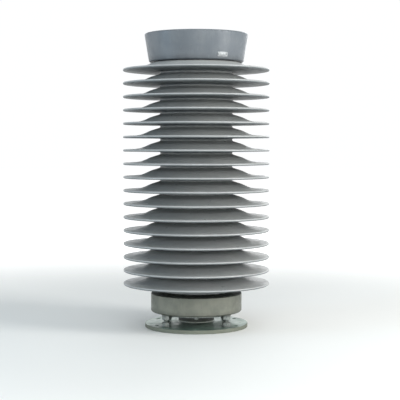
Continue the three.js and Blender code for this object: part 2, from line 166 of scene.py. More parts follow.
# Studio
CAMERA_PLACE = (0.0155, -4.6, 0.757)
CAMERA_DIP = 2.825  # degrees below the horizon
LENS = 99.03
SKY_LIGHT = 0.36
HORIZON_LIGHT = 1.02
FLOOR_GLOW = 0.72  # far out, where the floor runs into the white room
GLOW_FROM = 0.9  # metres from the axis
GLOW_TO = 4.2
HORIZON_TOP = 0.14  # how far up a direction points, of 1, where HORIZON_LIGHT ends
SKY_FROM = 0.50  # and where SKY_LIGHT begins
FLOOR_REACH = 30  # metres from the middle to the edge
FLOOR_DROP = 0.2 * MM  # keeps it clear of the base's underside
FLOOR_COLOUR = (0.80, 0.81, 0.79)

# ---------------------------------------------------------------- places taken from the frame


def middle(node):
    low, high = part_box(node)
    return (low + high) / 2


def bearing(node):
    """The direction of a CAD node from the axis, in radians."""
    at = middle(node)
    return math.atan2(at.y, at.x)


def outer_radius(node):
    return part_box(node)[1].x


def outline_of(node):
    """A turned CAD node's outline of (radius, height), cut midway between two of its facets."""
    turn = math.pi / FACETS
    mesh = bmesh.new()
    mesh.from_mesh(nodes[node].data)
    bmesh.ops.remove_doubles(mesh, verts=mesh.verts, dist=WELD)
    cut = bmesh.ops.bisect_plane(
        mesh,
        geom=[*mesh.verts, *mesh.edges, *mesh.faces],
        dist=1e-8,
        plane_co=(0, 0, 0),
        plane_no=(-math.sin(turn), math.cos(turn), 0),
    )
    links = {}
    for edge in cut["geom_cut"]:
        if not isinstance(edge, bmesh.types.BMEdge):
            continue
        ends = [
            ((v.co.x * math.cos(turn) + v.co.y * math.sin(turn)) / math.cos(turn), v.co.z)
            for v in edge.verts
        ]
        if max(r for r, _ in ends) < WELD:
            continue
        a, b = [(round(max(r, 0), 6), round(z, 6)) for r, z in ends]
        links.setdefault(a, []).append(b)
        links.setdefault(b, []).append(a)
    mesh.free()
    on_axis = sorted((p for p in links if p[0] == 0), key=lambda p: p[1])
    start = on_axis[0] if on_axis else min(links, key=lambda p: (p[1], p[0]))
    chain = [start]
    while True:
        ahead = [p for p in links[chain[-1]] if p not in chain[-2:]]
        if not ahead or ahead[0] == start:
            break
        chain.append(ahead[0])
    return without_straights(chain)


def without_straights(chain):
    """The chain without the points that lie on the line between their neighbours."""
    kept = []
    for i, p in enumerate(chain):
        a, b = chain[i - 1], chain[(i + 1) % len(chain)]
        length = math.dist(a, b)
        area = (p[0] - a[0]) * (b[1] - a[1]) - (p[1] - a[1]) * (b[0] - a[0])
        if p[0] == 0 or length < 1e-9 or abs(area) / length > 4e-6:
            kept.append(p)
    return kept


# ---------------------------------------------------------------- shapes


def rounded(outline, radius_at):
    """The outline with an arc at each corner. radius_at is one radius, or a function of (r, z)."""
    closed = outline[0][0] > 0
    rows = []
    for i, corner in enumerate(outline):
        if not closed and i in (0, len(outline) - 1):
            rows.append(corner)
            continue
        p = Vector(corner)
        u = Vector(outline[i - 1]) - p
        v = Vector(outline[(i + 1) % len(outline)]) - p
        reach = ARC_REACH * min(u.length, v.length)
        u.normalize()
        v.normalize()
        turn = math.pi - u.angle(v)
        if turn < 0.01:
            rows.append(corner)
            continue
        wanted = radius_at(*corner) if callable(radius_at) else radius_at
        radius = min(wanted, reach / math.tan(turn / 2))
        centre = p + (u + v).normalized() * radius / math.cos(turn / 2)
        first = p + u * radius * math.tan(turn / 2) - centre
        last = p + v * radius * math.tan(turn / 2) - centre
        steps = max(2, math.ceil(turn / ARC_STEP))
        for k in range(steps + 1):
            s = k / steps
            spoke = first * math.sin((1 - s) * turn) + last * math.sin(s * turn)
            rows.append(tuple(centre + spoke / math.sin(turn)))
    return rows


def loft(rings, steps=ROUND):
    """A skin over rings of (radius, height), each a number or a function of the angle. It is closed
    end to end, unless it starts and ends with a radius of 0, a point on the axis."""
    mesh = bmesh.new()
    rows = []
    for radius, height in rings:
        if radius == 0:
            rows.append([mesh.verts.new((0, 0, height))])
            continue
        row = []
        for i in range(steps):
            a = 2 * math.pi * i / steps
            r = radius(a) if callable(radius) else radius
            z = height(a) if callable(height) else height
            row.append(mesh.verts.new((r * math.cos(a), r * math.sin(a), z)))
        rows.append(row)
    following = rows[1:] if len(rows[0]) == 1 else [*rows[1:], rows[0]]
    for low, high in zip(rows, following):
        for i in range(steps):
            j = (i + 1) % steps
            if len(low) == 1:
                mesh.faces.new((low[0], high[j], high[i]))
            elif len(high) == 1:
                mesh.faces.new((low[i], low[j], high[0]))
            else:
                mesh.faces.new((low[i], low[j], high[j], high[i]))
    bmesh.ops.recalc_face_normals(mesh, faces=mesh.faces)
    return mesh


def helix(radius, pitch, low, high):
    """A round bar with a helical thread, flat at both ends."""
    steps = COARSE
    root = radius - THREAD_DEPTH * pitch
    crest_from, crest_to = THREAD_CREST
    profile = [(0, root), (THREAD_ROOT, root), (crest_from, radius), (crest_to, radius)]
    turns = math.ceil((high - low) / pitch) + 3
    mesh = bmesh.new()
    rows = []
    for turn in range(turns):
        for along, r in profile:
            row = []
            for i in range(steps):
                a = 2 * math.pi * i / steps
                z = low + (turn - 1.5 + along + i / steps) * pitch
                row.append(mesh.verts.new((r * math.cos(a), r * math.sin(a), z)))
            rows.append(row)
    for m in range(len(rows) - 1):
        for i in range(steps - 1):
            mesh.faces.new((rows[m][i], rows[m][i + 1], rows[m + 1][i + 1], rows[m + 1][i]))
        over = m + len(profile)  # the row that this one runs into after a full turn
        if over + 1 < len(rows):
            mesh.faces.new((rows[m][-1], rows[over][0], rows[over + 1][0], rows[m + 1][-1]))
    for height, side in ((low, -1), (high, 1)):
        bmesh.ops.bisect_plane(
            mesh,
            geom=[*mesh.verts, *mesh.edges, *mesh.faces],
            dist=1e-8,
            plane_co=(0, 0, height),
            plane_no=(0, 0, side),
            clear_outer=True,
        )
        rim = [e for e in mesh.edges if e.is_boundary and abs(e.verts[0].co.z - height) < 1e-7]
        bmesh.ops.contextual_create(mesh, geom=rim)
    bmesh.ops.triangulate(mesh, faces=[f for f in mesh.faces if len(f.verts) > 4])
    bmesh.ops.recalc_face_normals(mesh, faces=mesh.faces)
    return mesh


def hexagon(across_flats):
    """The radius of a hexagon with slightly worn corners, as a function of the angle."""
    flat = across_flats / 2
    corner = flat / math.cos(math.pi / 6) * HEX_CORNER

    def radius(angle):
        off = (angle + math.pi / 6) % (math.pi / 3) - math.pi / 6
        return min(flat / math.cos(off), corner)

    return radius


def chamfered_edge(across_flats, face, inward):
    """The height of a hexagon's edge under its 30 degree chamfer, as a function of the angle."""
    radius = hexagon(across_flats)
    start = across_flats / 2 * CHAMFER_START

    def height(angle):
        return face + inward * max(0.0, radius(angle) - start) * math.tan(math.pi / 6)

    return height


def hex_nut(across_flats, bore, low, high):
    start = across_flats / 2 * CHAMFER_START
    side = hexagon(across_flats)
    chamfer = NUT_CHAMFER
    return loft(
        [
            (bore + chamfer, low),
            (start, low),
            (side, chamfered_edge(across_flats, low, 1)),
            (side, chamfered_edge(across_flats, high, -1)),
            (start, high),
            (bore + chamfer, high),
            (bore, high - chamfer),
            (bore, low + chamfer),
        ],
        FINE,
    )


def hex_bolt(seat, shank_end):
    """A bolt whose head stands on seat, with a ringed shank down to shank_end."""
    start = BOLT_ACROSS_FLATS / 2 * HEAD_FACE
    side = hexagon(BOLT_ACROSS_FLATS)
    radius = BOLT_DIAMETER / 2
    face = seat + BOLT_HEAD
    dish = HEAD_DISH
    dish_end, face_from = DISH_RIM
    rings = [
        (0, face - dish),
        (start * dish_end, face - dish),
        (start * face_from, face),
        (start, face),
        (side, chamfered_edge(BOLT_ACROSS_FLATS, face, -1)),
        (side, seat + dish),
        (start, seat + dish),
        (start, seat),
        (radius, seat),
    ]
    rings += grooves(radius, BOLT_PITCH, seat - 2 * MM, shank_end + MM, -1)
    rings += [(radius, shank_end + MM), (radius - MM, shank_end), (0, shank_end)]
    return loft(rings, FINE)


def grooves(radius, pitch, top, bottom, outward):
    """Plain rings for a short thread. outward is +1 in a hole's wall and -1 on a shank."""
    count = int((top - bottom) / pitch)
    rings = []
    for i in range(count):
        rings.append((radius, top - i * pitch))
        rings.append((radius + outward * THREAD_DEPTH * pitch, top - (i + 0.5) * pitch))
    return rings


def countersink(radius, top, chamfer):
    over = top + CUT_OVER
    return [(0, over), (radius + chamfer + CUT_OVER, over), (radius, top - chamfer)]


def drill(radius, top, bottom, chamfer=HOLE_CHAMFER, pitch=0):
    """The tool for a blind hole with a drilled point and, where pitch says, thread rings."""
    rings = countersink(radius, top, chamfer)
    if pitch:
        rings += grooves(radius, pitch, top - 2 * chamfer, bottom + 2 * chamfer, 1)
    return loft([*rings, (radius, bottom), (0, bottom - radius / 2)], COARSE)


def drill_through(radius, top, bottom, chamfer=HOLE_CHAMFER):
    """The tool for a hole chamfered at both faces."""
    mirrored = [(r, -z) for r, z in countersink(radius, -bottom, chamfer)]
    return loft(countersink(radius, top, chamfer) + mirrored[::-1], COARSE)


def moved(mesh, matrix):
    mesh.transform(matrix)
    return mesh


def out_at(radius, angle):
    return Matrix.Rotation(angle, 4, "Z") @ Matrix.Translation((radius, 0, 0))


def around(make, radius, count, first):
    """Copies of a tool on a circle."""
    angles = [first + 2 * math.pi * i / count for i in range(count)]
    return [moved(make(), out_at(radius, angle)) for angle in angles]


def object_of(mesh, name):
    data = bpy.data.meshes.new(name)
    mesh.to_mesh(data)
    mesh.free()
    made = bpy.data.objects.new(name, data)
    bpy.context.scene.collection.objects.link(made)
    return made


def joined(meshes):
    whole = bmesh.new()
    for mesh in meshes:
        data = bpy.data.meshes.new("part")
        mesh.to_mesh(data)
        mesh.free()
        whole.from_mesh(data)
        bpy.data.meshes.remove(data)
    return whole


def combined(mesh, tools, operation):
    """The mesh with the tools cut out of it, or only what it has in common with them."""
    body = object_of(mesh, "body")
    tool = object_of(joined(tools), "tool")
    modifier = body.modifiers.new("combine", "BOOLEAN")
    modifier.operation = operation
    modifier.solver = "EXACT"
    modifier.object = tool
    bpy.context.view_layer.update()
    ready = body.evaluated_get(bpy.context.evaluated_depsgraph_get())
    result = bmesh.new()
    result.from_mesh(ready.to_mesh())
    ready.to_mesh_clear()
    for made in (body, tool):
        data = made.data
        bpy.data.objects.remove(made)
        bpy.data.meshes.remove(data)
    bmesh.ops.remove_doubles(result, verts=result.verts, dist=WELD)
    return result


def drilled(mesh, tools):
    return combined(mesh, tools, "DIFFERENCE")


def turned(node, rounding):
    return loft(rounded(outline_of(node), rounding))


# ---------------------------------------------------------------- finishes


class Finish:
    """A material made from nodes on one Principled shader. Its patterns follow the object."""

    def __init__(self, name, metallic=0.0, **constants):
        self.material = bpy.data.materials.new(name)
        self.material.use_nodes = True
        self.tree = self.material.node_tree
        self.shader = self.tree.nodes["Principled BSDF"]
        self.shader.inputs["Metallic"].default_value = metallic
        for key, value in constants.items():
            label = key.replace("_", " ").title().replace("Ior", "IOR")
            self.shader.inputs[label].default_value = value
        self.place = self.add("ShaderNodeTexCoord").outputs["Object"]

    def add(self, kind, inputs=None, **settings):
        made = self.tree.nodes.new(kind)
        for key, value in settings.items():
            setattr(made, key, value)
        for key, value in (inputs or {}).items():
            if isinstance(value, bpy.types.NodeSocket):
                self.tree.links.new(value, made.inputs[key])
            else:
                made.inputs[key].default_value = value
        return made

    def scaled(self, size, stretch=(1, 1, 1), turn=(0, 0, 0)):
        scale = [1 / (size * s) for s in stretch]
        inputs = {"Vector": self.place, "Scale": scale, "Rotation": turn}
        return self.add("ShaderNodeMapping", inputs).outputs["Vector"]

    def noise(self, size, detail=3.0, stretch=(1, 1, 1), turn=(0, 0, 0), at=None):
        """Noise whose patches are about size across, drawn out along an axis by stretch."""
        vector = self.scaled(size, stretch, turn) if at is None else at
        inputs = {"Vector": vector, "Scale": 1.0, "Detail": detail}
        return self.add("ShaderNodeTexNoise", inputs).outputs["Fac"]

    def cells(self, size):
        inputs = {"Vector": self.scaled(size), "Scale": 1.0}
        made = self.add("ShaderNodeTexVoronoi", inputs).outputs["Color"]
        return self.add("ShaderNodeSeparateColor", {"Color": made}).outputs["Red"]

    def level(self, value, low, high, at_low=0.0, at_high=1.0):
        inputs = {
            "Value": value,
            "From Min": low,
            "From Max": high,
            "To Min": at_low,
            "To Max": at_high,
        }
        made = self.add("ShaderNodeMapRange", inputs, interpolation_type="SMOOTHSTEP")
        return made.outputs["Result"]

    def calc(self, operation, a, b):
        return self.add("ShaderNodeMath", {0: a, 1: b}, operation=operation).outputs[0]

    def times(self, a, b):
        return self.calc("MULTIPLY", a, b)

    def blend(self, factor, a, b):
        inputs = {0: factor, 6: self.rgba(a), 7: self.rgba(b)}
        made = self.add("ShaderNodeMix", inputs, data_type="RGBA")
        return made.outputs[2]

    def rgba(self, colour):
        return colour if isinstance(colour, bpy.types.NodeSocket) else (*colour, 1.0)

    def facing_up(self):
        normal = self.add("ShaderNodeNewGeometry").outputs["Normal"]
        return self.add("ShaderNodeSeparateXYZ", {"Vector": normal}).outputs["Z"]

    def height(self):
        return self.add("ShaderNodeSeparateXYZ", {"Vector": self.place}).outputs["Z"]

    def from_axis(self):
        flat = self.add(
            "ShaderNodeVectorMath", {0: self.place, 1: (1, 1, 0)}, operation="MULTIPLY"
        ).outputs[0]
        return self.add("ShaderNodeVectorMath", {0: flat}, operation="LENGTH").outputs["Value"]

    def set(self, colour, roughness, *bumps):
        """bumps are (height, depth in metres)."""
        self.tree.links.new(colour, self.shader.inputs["Base Color"])
        self.tree.links.new(roughness, self.shader.inputs["Roughness"])
        normal = None
        for height, depth in bumps:
            inputs = {"Height": height, "Distance": depth, "Strength": 1.0}
            if normal:
                inputs["Normal"] = normal
            normal = self.add("ShaderNodeBump", inputs).outputs["Normal"]
        if normal:
            self.tree.links.new(normal, self.shader.inputs["Normal"])
        return self.material


def grey_glaze():
    """A satin grey glaze with iron specks, darker where it ran thin on the rims, with dust on top
    and painted shade that darkens the undersides of the sheds."""
    f = Finish("grey_glaze", specular_ior_level=0.32)
    colour = f.blend(
        f.level(f.noise(0.13, 3), 0.35, 0.65), (0.366, 0.384, 0.384), (0.404, 0.420, 0.416)
    )
    cloud = f.level(f.noise(0.03, 4), 0.5, 0.75)
    colour = f.blend(f.times(cloud, 0.14), colour, (0.29, 0.30, 0.295))
    rim = outer_radius("porcelain_housing")
    thin = f.level(f.from_axis(), rim - 4 * MM, rim - MM)
    thin = f.times(thin, f.level(f.noise(0.02), 0.3, 0.7, 0.6, 1))
    colour = f.blend(f.times(thin, 0.6), colour, (0.285, 0.300, 0.302))
    # painted shade: surfaces that face down are darkened as if in shadow under the sheds
    underside_shade = f.level(f.facing_up(), -0.35, 0.25, 1, 0)
    underside_shade = f.times(underside_shade, f.level(f.noise(0.14, 3), 0.3, 0.7, 0.80, 0.92))
    colour = f.blend(underside_shade, colour, (0.085, 0.098, 0.106))
    speck = f.level(f.noise(0.0024, 1), 0.70, 0.76)
    colour = f.blend(f.times(speck, 0.5), colour, (0.10, 0.085, 0.07))
    dust = f.times(f.level(f.facing_up(), 0.7, 0.98), f.level(f.noise(0.035, 6), 0.4, 0.75))
    colour = f.blend(f.times(dust, 0.2), colour, (0.36, 0.355, 0.325))
    roughness = f.level(f.noise(0.03, 3), 0.3, 0.7, 0.27, 0.36)
    roughness = f.calc("ADD", roughness, f.calc("ADD", f.times(dust, 0.2), f.times(underside_shade, 0.16)))
    return f.set(colour, roughness, (f.noise(0.06, 1), 0.05 * MM), (f.noise(0.004, 1), 0.005 * MM))


def weathered_cast(node, dark, light, bare, metallic, roughness, painted_top_shade=False):
    """Paint or skin on a sand casting: grain, streaks down the sides, and darker towards its lower
    edge.
    painted_top_shade: its top face and top edge get painted shade, the shadow of the shed above."""
    f = Finish(slot_of[node], metallic=metallic)
    colour = f.blend(f.level(f.noise(0.07, 4), 0.35, 0.65), dark, light)
    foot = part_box(node)[0].z
    # darker towards its lower edge
    lower_darkening = f.level(f.height(), foot + 2 * MM, foot + 26 * MM, 1, 0)
    lower_darkening = f.times(lower_darkening, f.level(f.noise(0.03, 4), 0.25, 0.7, 0.45, 1))
    colour = f.blend(f.times(lower_darkening, 0.6), colour, [c * 0.45 for c in dark])
    streak = f.level(f.noise(0.009, 4, (1, 1, 9)), 0.54, 0.74)
    colour = f.blend(f.times(streak, 0.22), colour, [c * 0.62 for c in dark])
    pale = f.level(f.noise(0.013, 5, (1, 1, 4), (0, 0, 0.7)), 0.6, 0.76)
    colour = f.blend(f.times(pale, 0.22), colour, [c * 1.4 for c in light])
    worn = f.level(f.noise(0.007, 6), 0.70, 0.74)
    colour = f.blend(f.times(worn, 0.8), colour, bare)
    if painted_top_shade:
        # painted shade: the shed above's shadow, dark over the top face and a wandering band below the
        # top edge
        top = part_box(node)[1].z
        wander = f.times(f.noise(0.012, 4), 5 * MM)
        top_shade = f.level(f.calc("ADD", f.height(), wander), top - 1.5 * MM, top)
        colour = f.blend(f.times(top_shade, 0.93), colour, (0.022, 0.026, 0.019))
    dust = f.times(f.level(f.facing_up(), 0.7, 0.98), f.level(f.noise(0.02, 5), 0.42, 0.7))
    colour = f.blend(f.times(dust, 0.3), colour, [c * 1.5 for c in light])
    shine = f.level(f.noise(0.014, 4), 0.3, 0.7, roughness - 0.07, roughness + 0.09)
    shine = f.calc("ADD", shine, f.times(dust, 0.2))
    return f.set(
        colour,
        shine,
        (f.noise(0.012, 3), 0.35 * MM),
        (f.noise(0.0022, 4), 0.16 * MM),
        (worn, -0.08 * MM),
    )


def zinc_plated():
    """Bright zinc on a turned plate: fine rings, a green tint painted in as the reflection of a green
    floor, stains, scratches and a dull edge.
    """
    f = Finish("zinc_plate", metallic=0.6)
    # painted reflection: the green in both tones stands in for a green floor seen in the zinc
    colour = f.blend(
        f.level(f.noise(0.06, 4), 0.35, 0.65), (0.098, 0.155, 0.128), (0.185, 0.262, 0.218)
    )
    stain = f.level(f.noise(0.022, 6), 0.54, 0.68)
    colour = f.blend(f.times(stain, 0.5), colour, (0.065, 0.10, 0.082))
    scratch = f.calc(
        "MAXIMUM",
        f.level(f.noise(0.003, 2, (1, 40, 1), (0, 0, 0.5)), 0.66, 0.72),
        f.level(f.noise(0.0035, 2, (40, 1, 1), (0, 0, -0.3)), 0.66, 0.72),
    )
    colour = f.blend(f.times(scratch, 0.25), colour, (0.40, 0.45, 0.41))
    rim = outer_radius("base_plate")
    edge = f.level(f.from_axis(), rim - 1.6 * MM, rim - 0.6 * MM)
    edge = f.times(edge, f.level(f.noise(0.012, 5), 0.2, 0.5, 0.7, 1))
    colour = f.blend(f.times(edge, 0.92), colour, (0.185, 0.195, 0.158))
    across = f.calc("DIVIDE", f.from_axis(), 1.1 * MM)
    rings = f.noise(1, 3, at=f.add("ShaderNodeCombineXYZ", {"X": across}).outputs[0])
    roughness = f.level(f.noise(0.03, 4), 0.3, 0.7, 0.28, 0.44)
    roughness = f.calc("ADD", roughness, f.calc("ADD", f.times(stain, 0.12), f.times(edge, 0.2)))
    dents = f.noise(0.06, 1)
    return f.set(colour, roughness, (rings, 0.01 * MM), (dents, 0.06 * MM), (scratch, -0.01 * MM))


def galvanised():
    f = Finish("galvanised_steel", metallic=0.85)
    colour = f.blend(f.cells(0.0055), (0.185, 0.205, 0.195), (0.29, 0.31, 0.295))
    dull = f.level(f.noise(0.012, 5), 0.5, 0.7)
    colour = f.blend(f.times(dull, 0.6), colour, (0.24, 0.25, 0.235))
    stain = f.level(f.noise(0.006, 5), 0.64, 0.74)
    colour = f.blend(f.times(stain, 0.6), colour, (0.20, 0.15, 0.10))
    roughness = f.level(f.noise(0.008, 4), 0.3, 0.7, 0.32, 0.52)
    return f.set(colour, roughness, (f.noise(0.003, 4), 0.05 * MM), (f.cells(0.0055), 0.01 * MM))


def painted_dark():
    f = Finish("black_paint", coat_weight=0.15, coat_roughness=0.3)
    cloud = f.level(f.noise(0.02, 5), 0.35, 0.65)
    colour = f.blend(cloud, (0.016, 0.019, 0.013), (0.034, 0.039, 0.027))
    scuff = f.level(f.noise(0.004, 6, (3, 3, 1)), 0.68, 0.74)
    colour = f.blend(f.times(scuff, 0.5), colour, (0.17, 0.17, 0.15))
    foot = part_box("desiccant_canister")[0].z
    # painted highlight: a pale band along the chamfer at the canister's foot
    foot_highlight = f.level(f.height(), foot + 4 * MM, foot + 7 * MM, 1, 0)
    foot_highlight = f.times(foot_highlight, f.level(f.noise(0.014, 4), 0.2, 0.5, 0.3, 1))
    colour = f.blend(f.times(foot_highlight, 0.9), colour, (0.60, 0.63, 0.58))
    dust = f.level(f.noise(0.015, 5, (1, 1, 5)), 0.5, 0.75)
    colour = f.blend(f.times(dust, 0.3), colour, (0.10, 0.10, 0.085))
    roughness = f.level(f.noise(0.01, 4), 0.3, 0.7, 0.34, 0.52)
    return f.set(colour, roughness, (f.noise(0.0025, 3), 0.05 * MM))


def turned_metal(name, dark, light, tarnish, grain, metallic):
    """Turned or drawn metal: fine lines along one direction, with tarnish in patches."""
    f = Finish(name, metallic=metallic)
    colour = f.blend(f.noise(0.0012, 3, grain), dark, light)
    patch = f.level(f.noise(0.008, 5), 0.5, 0.72)
    colour = f.blend(f.times(patch, 0.6), colour, tarnish)
    roughness = f.level(f.noise(0.0012, 3, grain), 0.3, 0.7, 0.34, 0.52)
    return f.set(colour, roughness, (f.noise(0.0006, 2, grain), 0.01 * MM))


def soft_black(name, dark, light, grain, depth, roughness):
    """Sealant or rubber."""
    f = Finish(name)
    colour = f.blend(f.level(f.noise(grain * 5, 4), 0.35, 0.7), dark, light)
    bloom = f.level(f.noise(grain * 2, 5), 0.56, 0.76)
    colour = f.blend(f.times(bloom, 0.35), colour, (0.12, 0.12, 0.10))
    shine = f.level(f.noise(grain * 3, 3), 0.3, 0.7, roughness - 0.08, roughness + 0.08)
    return f.set(colour, shine, (f.noise(grain, 4), depth))


def set_cement():
    f = Finish("cement")
    colour = f.blend(f.level(f.noise(0.01, 6), 0.3, 0.7), (0.34, 0.33, 0.30), (0.52, 0.51, 0.47))
    grit = f.cells(0.0012)
    colour = f.blend(f.level(grit, 0.8, 0.95, 0, 0.5), colour, (0.22, 0.20, 0.17))
    return f.set(colour, f.level(grit, 0.0, 1.0, 0.82, 0.95), (f.noise(0.0015, 6), 0.3 * MM))


finishes = {
    "glaze": grey_glaze(),
    "cap_paint": weathered_cast(
        "cap", (0.098, 0.116, 0.133), (0.120, 0.137, 0.152), (0.20, 0.21, 0.21), 0.0, 0.36
    ),
    "collar_casting": weathered_cast(
        "collar", (0.142, 0.152, 0.126), (0.192, 0.199, 0.164), (0.30, 0.30, 0.26), 0.2, 0.46, True
    ),
    "zinc_plate": zinc_plated(),
    "galvanised_steel": galvanised(),
    "black_paint": painted_dark(),
    "brass": turned_metal(
        "brass", (0.56, 0.40, 0.17), (0.72, 0.54, 0.26), (0.25, 0.18, 0.09), (1, 20, 1), 1.0
    ),
    "bare_aluminium": turned_metal(
        "bare_aluminium", (0.25, 0.27, 0.28), (0.33, 0.35, 0.36), (0.20, 0.21, 0.21), (25, 25, 1), 0.3
    ),
    "sealant": soft_black(
        "sealant", (0.012, 0.014, 0.010), (0.032, 0.036, 0.027), 0.003, 0.25 * MM, 0.46
    ),
    "rubber": soft_black(
        "rubber", (0.011, 0.011, 0.011), (0.026, 0.026, 0.025), 0.0015, 0.05 * MM, 0.7
    ),
    "cement": set_cement(),
}


# ---------------------------------------------------------------- putting pieces in place


def shaded(made):
    made.data.shade_smooth()
    made.data.set_sharp_from_angle(angle=SHARP_ANGLE)
    modifier = made.modifiers.new("even shading", "WEIGHTED_NORMAL")
    modifier.keep_sharp = True
    modifier.weight = 60


def stand_for(node, mesh):
    """The mesh becomes a piece that stands for the CAD node, in the finish of its slot."""
    made = object_of(mesh, f"{node}_detail")
    made.data.materials.append(finishes[slot_of[node]])
    shaded(made)
    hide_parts(node)
    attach(made, "root")


def keep(node):
    """The CAD node stays, in the finish of its slot."""
    kept = nodes[node]
    kept.data.materials.clear()
    kept.data.materials.append(finishes[slot_of[node]])


# ---------------------------------------------------------------- porcelain


def housing():
    shed_edge = outer_radius("porcelain_housing")
    outline = outline_of("porcelain_housing")
    core = sorted(r for r, _ in outline)[len(outline) // 4]  # the lower quartile
    swollen = []
    for i, (r, z) in enumerate(outline):
        swollen.append((r, z))
        next_r, next_z = outline[(i + 1) % len(outline)]
        rise, run = abs(next_z - z), abs(next_r - r)
        if rise > CONE_SPAN and run > CONE_SPAN:
            out = SHED_BULGE * rise / run
            swollen.append(((r + next_r) / 2 + out, (z + next_z) / 2 + SHED_BULGE))

    def rounding(r, z):
        if r > shed_edge - MM:
            return RIM_ROUNDING
        if r > core + 5 * MM:
            return SHED_BLEND
        return ROOT_FILLET if r > core - MM else MACHINED_ROUNDING

    rows = []
    rough = rounded(swollen, rounding)
    for (r, z), (next_r, next_z) in zip(rough, [*rough[1:], rough[0]]):
        parts = math.ceil(abs(next_r - r) / FACE_SPAN) or 1
        rows += [
            (r + (next_r - r) * k / parts, z + (next_z - z) * k / parts) for k in range(parts)
        ]
    mesh = loft(rows)
    for v in mesh.verts:
        r = math.hypot(v.co.x, v.co.y)
        out = max(0.0, (r - core) / (shed_edge - core))
        at = Vector((v.co.x * WAVE_ACROSS, v.co.y * WAVE_ACROSS, v.co.z * WAVE_UP))
        wave = noise.noise(at)
        shrink = 1 - 0.6 * KILN_WAVE / shed_edge * out * (0.5 + 0.5 * wave)
        v.co.x *= shrink
        v.co.y *= shrink
        v.co.z += KILN_WAVE * out * out * wave
    return mesh


stand_for("porcelain_housing", housing())

# ---------------------------------------------------------------- castings and closing plates

stud_low, stud_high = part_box("stud_1")
stud_circle = middle("stud_1").to_2d().length
stud_radius = STUD_DIAMETER / 2
stud_hole = stud_radius + HOLE_PLAY / 2
bolt_hole = (BOLT_DIAMETER + HOLE_PLAY) / 2
bolt_circle = middle("cover_bolt_1").to_2d().length
anchor_circle = outer_radius("base_plate") - ANCHOR_EDGE
cap_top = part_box("cap")[1].z
collar_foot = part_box("collar")[0].z
plate_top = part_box("base_plate")[1].z
cover_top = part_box("top_cover")[1].z


def upturned(mesh):
    """A tool or bolt made for the top of a piece, turned over for its underside."""
    return moved(mesh, Matrix.Rotation(math.pi, 4, "X"))


def cap():
    outline = outline_of("cap")
    recess = min(r for r, z in outline if z > cap_top - MM)
    seat = max(z for r, z in outline if z < cap_top - MM and r < recess + MM)
    bolt_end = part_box("cover_bolt_1")[0].z
    terminal_circle = (recess + outer_radius("cap")) / 2
    terminal = partial(
        drill, TERMINAL_DIAMETER / 2, cap_top, cap_top - TERMINAL_DEPTH, pitch=TERMINAL_PITCH
    )
    bolt = partial(drill, bolt_hole, seat, bolt_end - HOLE_PLAY / 2, chamfer=BOLT_HOLE_CHAMFER)
    return drilled(
        turned("cap", CAST_ROUNDING),
        around(terminal, terminal_circle, TERMINAL_HOLES, math.pi / TERMINAL_HOLES)
        + around(bolt, bolt_circle, COVER_BOLTS, bearing("cover_bolt_1")),
    )


def collar():
    bolt_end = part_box("closing_bolt_1")[1].z

    def hole(radius, end, chamfer):
        return upturned(drill(radius, -collar_foot, -end - HOLE_PLAY / 2, chamfer=chamfer))

    stud = partial(hole, stud_hole, stud_high.z, HOLE_CHAMFER)
    bolt = partial(hole, bolt_hole, bolt_end, BOLT_HOLE_CHAMFER)
    return drilled(
        turned("collar", CAST_ROUNDING),
        around(stud, stud_circle, STUDS, bearing("stud_1"))
        + around(bolt, bolt_circle, COVER_BOLTS, bearing("closing_bolt_1")),
    )


def closing_plate(node, top):
    """A bolted plate, whose flange reaches COVER_FLANGE down from top."""
    hole = partial(drill_through, bolt_hole, top, top - COVER_FLANGE, chamfer=COVER_HOLE_CHAMFER)
    return drilled(
        turned(node, MACHINED_ROUNDING),
        around(hole, bolt_circle, COVER_BOLTS, bearing("cover_bolt_1")),
    )


def base_plate():
    anchor = partial(drill_through, ANCHOR_DIAMETER / 2, plate_top, 0)
    stud = partial(drill_through, stud_hole, plate_top, 0)
    return drilled(
        turned("base_plate", MACHINED_ROUNDING),
        around(anchor, anchor_circle, ANCHOR_HOLES, math.pi / ANCHOR_HOLES)
        + around(stud, stud_circle, STUDS, bearing("stud_1")),
    )


stand_for("cap", cap())
stand_for("collar", collar())
stand_for("base_plate", base_plate())
stand_for("top_cover", closing_plate("top_cover", cover_top))
stand_for("lower_closing_plate", closing_plate("lower_closing_plate", collar_foot))


def bead(node):
    """Sealant pressed in by hand: above its foot, its edge wanders and its face dips."""
    low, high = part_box(node)
    inner = min(r for r, _ in outline_of(node))
    mesh = turned(node, BEAD_ROUNDING)
    for v in mesh.verts:
        if v.co.z <= low.z + MM:
            continue
        r = math.hypot(v.co.x, v.co.y)
        angle = math.atan2(v.co.y, v.co.x)
        around_it = Vector((math.cos(angle), math.sin(angle), 0))
        slow, quick = (
            noise.noise(around_it * level + Vector((0, 0, v.co.z * upright)))
            for level, upright in (BEAD_SLOW, BEAD_QUICK)
        )
        give = BEAD_WANDER * (slow + 0.5 * quick - BEAD_SINK)
        v.co.z += give if v.co.z > (low.z + high.z) / 2 else -give * 0.2
        if r > inner + MM:
            shrink = 1 + max(-1.0, slow - 0.5) * BEAD_WANDER / r
            v.co.x *= shrink
            v.co.y *= shrink
    return mesh


stand_for("collar_sealant_bead", bead("collar_sealant_bead"))

# ---------------------------------------------------------------- fasteners


def each(name, count):
    return [f"{name}_{i + 1}" for i in range(count)]


def set_out(node, mesh):
    """A fastener made on the axis at its own height, moved out to its CAD node's place."""
    at = middle(node)
    stand_for(node, moved(mesh, out_at(at.to_2d().length, bearing(node))))


